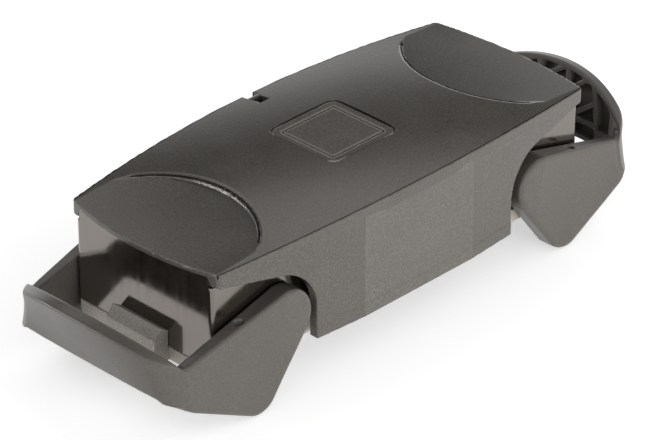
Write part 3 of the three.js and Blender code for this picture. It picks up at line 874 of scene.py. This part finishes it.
def lever(x, y, z):
    """U-shaped lever: two arms joined by an arched grip that leans outwards."""
    across = np.abs(y)
    side = across - arm_half_width(x, z)
    face = 0.97 * (x - grip_face(y, z))
    corner = rounded_max(face, side, GRIP_CORNER)
    foot = FOOT_HEIGHT - FOOT_DROP * foot_curve(y) - z
    arch = np.hypot(across, z - RIM_TOP + RIM_RADIUS) - RIM_RADIUS
    grip = rounded_max(corner, -(face + GRIP_DEPTH), 0.4)
    grip = rounded_max(grip, rounded_max(arch, side, 2.5), 0.7)
    grip = rounded_max(grip, np.maximum(foot, arm_underside(x, z)), 0.6)
    arms = lever_arms(x, y, z, side, corner)
    body = np.maximum(rounded_min(arms, grip, GRIP_FILLET), corner)
    body = rounded_max(body, -truss_pocket(y, z, arch, foot, face), 0.2)
    return np.maximum(body, -arm_cuts(x, y, z))


def place_lever(piece, end):
    spot = Matrix.Translation(Vector((PIVOT_X * MM, 0, PIVOT_Z * MM)))
    turn = Matrix.Rotation(math.pi if end == "left" else 0.0, 4, "Z")
    piece.matrix_world = turn @ spot @ Matrix.Rotation(DROOP, 4, "Y")


def make_levers():
    """Both levers share one mesh."""
    low = (-EYE_RADIUS, -ARM_OUTER, HEEL_Z - HEEL_RADIUS)
    high = (RIM_REACH, ARM_OUTER, RIM_TOP)
    right = make_piece("grip_lever_right", lever, low, high, 0.3, LEVER_PLASTIC)
    left = right.copy()
    left.name = "grip_lever_left"
    bpy.context.scene.collection.objects.link(left)
    for piece, end in ((right, "right"), (left, "left")):
        place_lever(piece, end)
        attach(piece, end + "_lever")
        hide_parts("lever_" + end)


# ---- Steel pieces -------------------------------------------------------------------------------
def finish_hardware():
    """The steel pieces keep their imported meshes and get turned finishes."""
    for name, node in frame["nodes"].items():
        if name.startswith(("cam_liner", "pivot_pin", "friction_washer")):
            node.data.materials.clear()
            node.data.materials.append(STAINLESS_STEEL)
        if name.startswith("housing_screw"):
            node.data.materials.clear()
            node.data.materials.append(ZINC_SCREW)


# ---- Floor, lights and camera -------------------------------------------------------------------
# Elevation in degrees and glow of the surround, from horizon to zenith
SKY_STOPS = (
    (1, 1.0), (15, 1.0), (20, 0.5), (26, 0.05), (35, 0.0),
    (39, 0.9), (48, 1.0), (56, 0.5), (70, 0.0), (88, 0.0),
)
SKY_STRENGTH = 1.5
FLOOR_HALF = 3.0
FLOOR_GLOW = 0.45
FLOOR_TONE = (0.86, 0.86, 0.86, 1)
WHITE = (1, 1, 1, 1)


def make_floor():
    signs = ((-1, -1), (1, -1), (1, 1), (-1, 1))
    mesh = bpy.data.meshes.new("floor")
    mesh.from_pydata([(a * FLOOR_HALF, b * FLOOR_HALF, 0) for a, b in signs], [], [(0, 1, 2, 3)])
    floor = bpy.data.objects.new("floor", mesh)
    bpy.context.scene.collection.objects.link(floor)
    finish = Finish("pale_floor", 0.6)
    finish.shader.inputs["Base Color"].default_value = FLOOR_TONE
    finish.shader.inputs["Specular IOR Level"].default_value = 0.1
    finish.shader.inputs["Emission Color"].default_value = WHITE
    finish.shader.inputs["Emission Strength"].default_value = FLOOR_GLOW
    mesh.materials.append(finish.material)


def area_light(name, place, aim, size, power):
    data = bpy.data.lights.new(name, "AREA")
    data.shape = "RECTANGLE"
    data.size = size[0]
    data.size_y = size[1]
    data.energy = power
    lamp = bpy.data.objects.new(name, data)
    lamp.location = place
    lamp.rotation_euler = (Vector(aim) - Vector(place)).to_track_quat("-Z", "Y").to_euler()
    lamp.visible_camera = False
    bpy.context.scene.collection.objects.link(lamp)
    return lamp


def make_sky():
    """Studio surround: bright near the horizon and from 39 to 56 degrees up, dark elsewhere."""
    world = bpy.data.worlds.new("studio")
    world.use_nodes = True
    tree = world.node_tree
    background = tree.nodes["Background"]
    direction = tree.nodes.new("ShaderNodeTexCoord").outputs["Generated"]
    split = tree.nodes.new("ShaderNodeSeparateXYZ")
    tree.links.new(direction, split.inputs["Vector"])
    ramp = tree.nodes.new("ShaderNodeValToRGB")
    ramp.color_ramp.interpolation = "B_SPLINE"
    stops = ramp.color_ramp.elements
    for elevation, glow in SKY_STOPS:
        stop = stops.new(math.sin(math.radians(elevation)))
        stop.color = (glow, glow, glow, 1)
    stops.remove(stops[0])
    stops.remove(stops[-1])
    tree.links.new(split.outputs["Z"], ramp.inputs["Fac"])
    tree.links.new(ramp.outputs["Color"], background.inputs["Color"])
    background.inputs["Strength"].default_value = SKY_STRENGTH
    bpy.context.scene.world = world


def make_lights():
    """A soft key that leaves no mirror image, and a strip that shows only as a gloss on edges."""
    centre = (0, 0, 0.02)
    key = area_light("front_key", (-0.1, -1.2, 0.16), centre, (1.2, 0.5), 18.5)
    key.visible_glossy = False
    strip = area_light("crescent_strip", (-0.95, 0.75, 0.08), centre, (1.5, 0.25), 9.0)
    strip.visible_diffuse = False


# Lens, place and viewing direction fitted to the photo
CAMERA_LENS = 236.1
CAMERA_PLACE = (-0.5968, -0.5856, 0.5141)
CAMERA_BACK = Vector((-0.61198, -0.60395, 0.51059))  # from the part towards the camera


def make_camera():
    data = bpy.data.cameras.new("camera")
    data.lens = CAMERA_LENS
    data.sensor_width = 36.0
    data.clip_start = 0.05
    data.clip_end = 20.0
    camera = bpy.data.objects.new("camera", data)
    camera.location = CAMERA_PLACE
    camera.rotation_euler = CAMERA_BACK.to_track_quat("Z", "Y").to_euler()
    bpy.context.scene.collection.objects.link(camera)
    bpy.context.scene.camera = camera


make_camera()
make_shell()
make_body_pieces()
make_levers()
finish_hardware()
make_floor()
make_sky()
make_lights()
bpy.context.scene.view_settings.view_transform = "Standard"
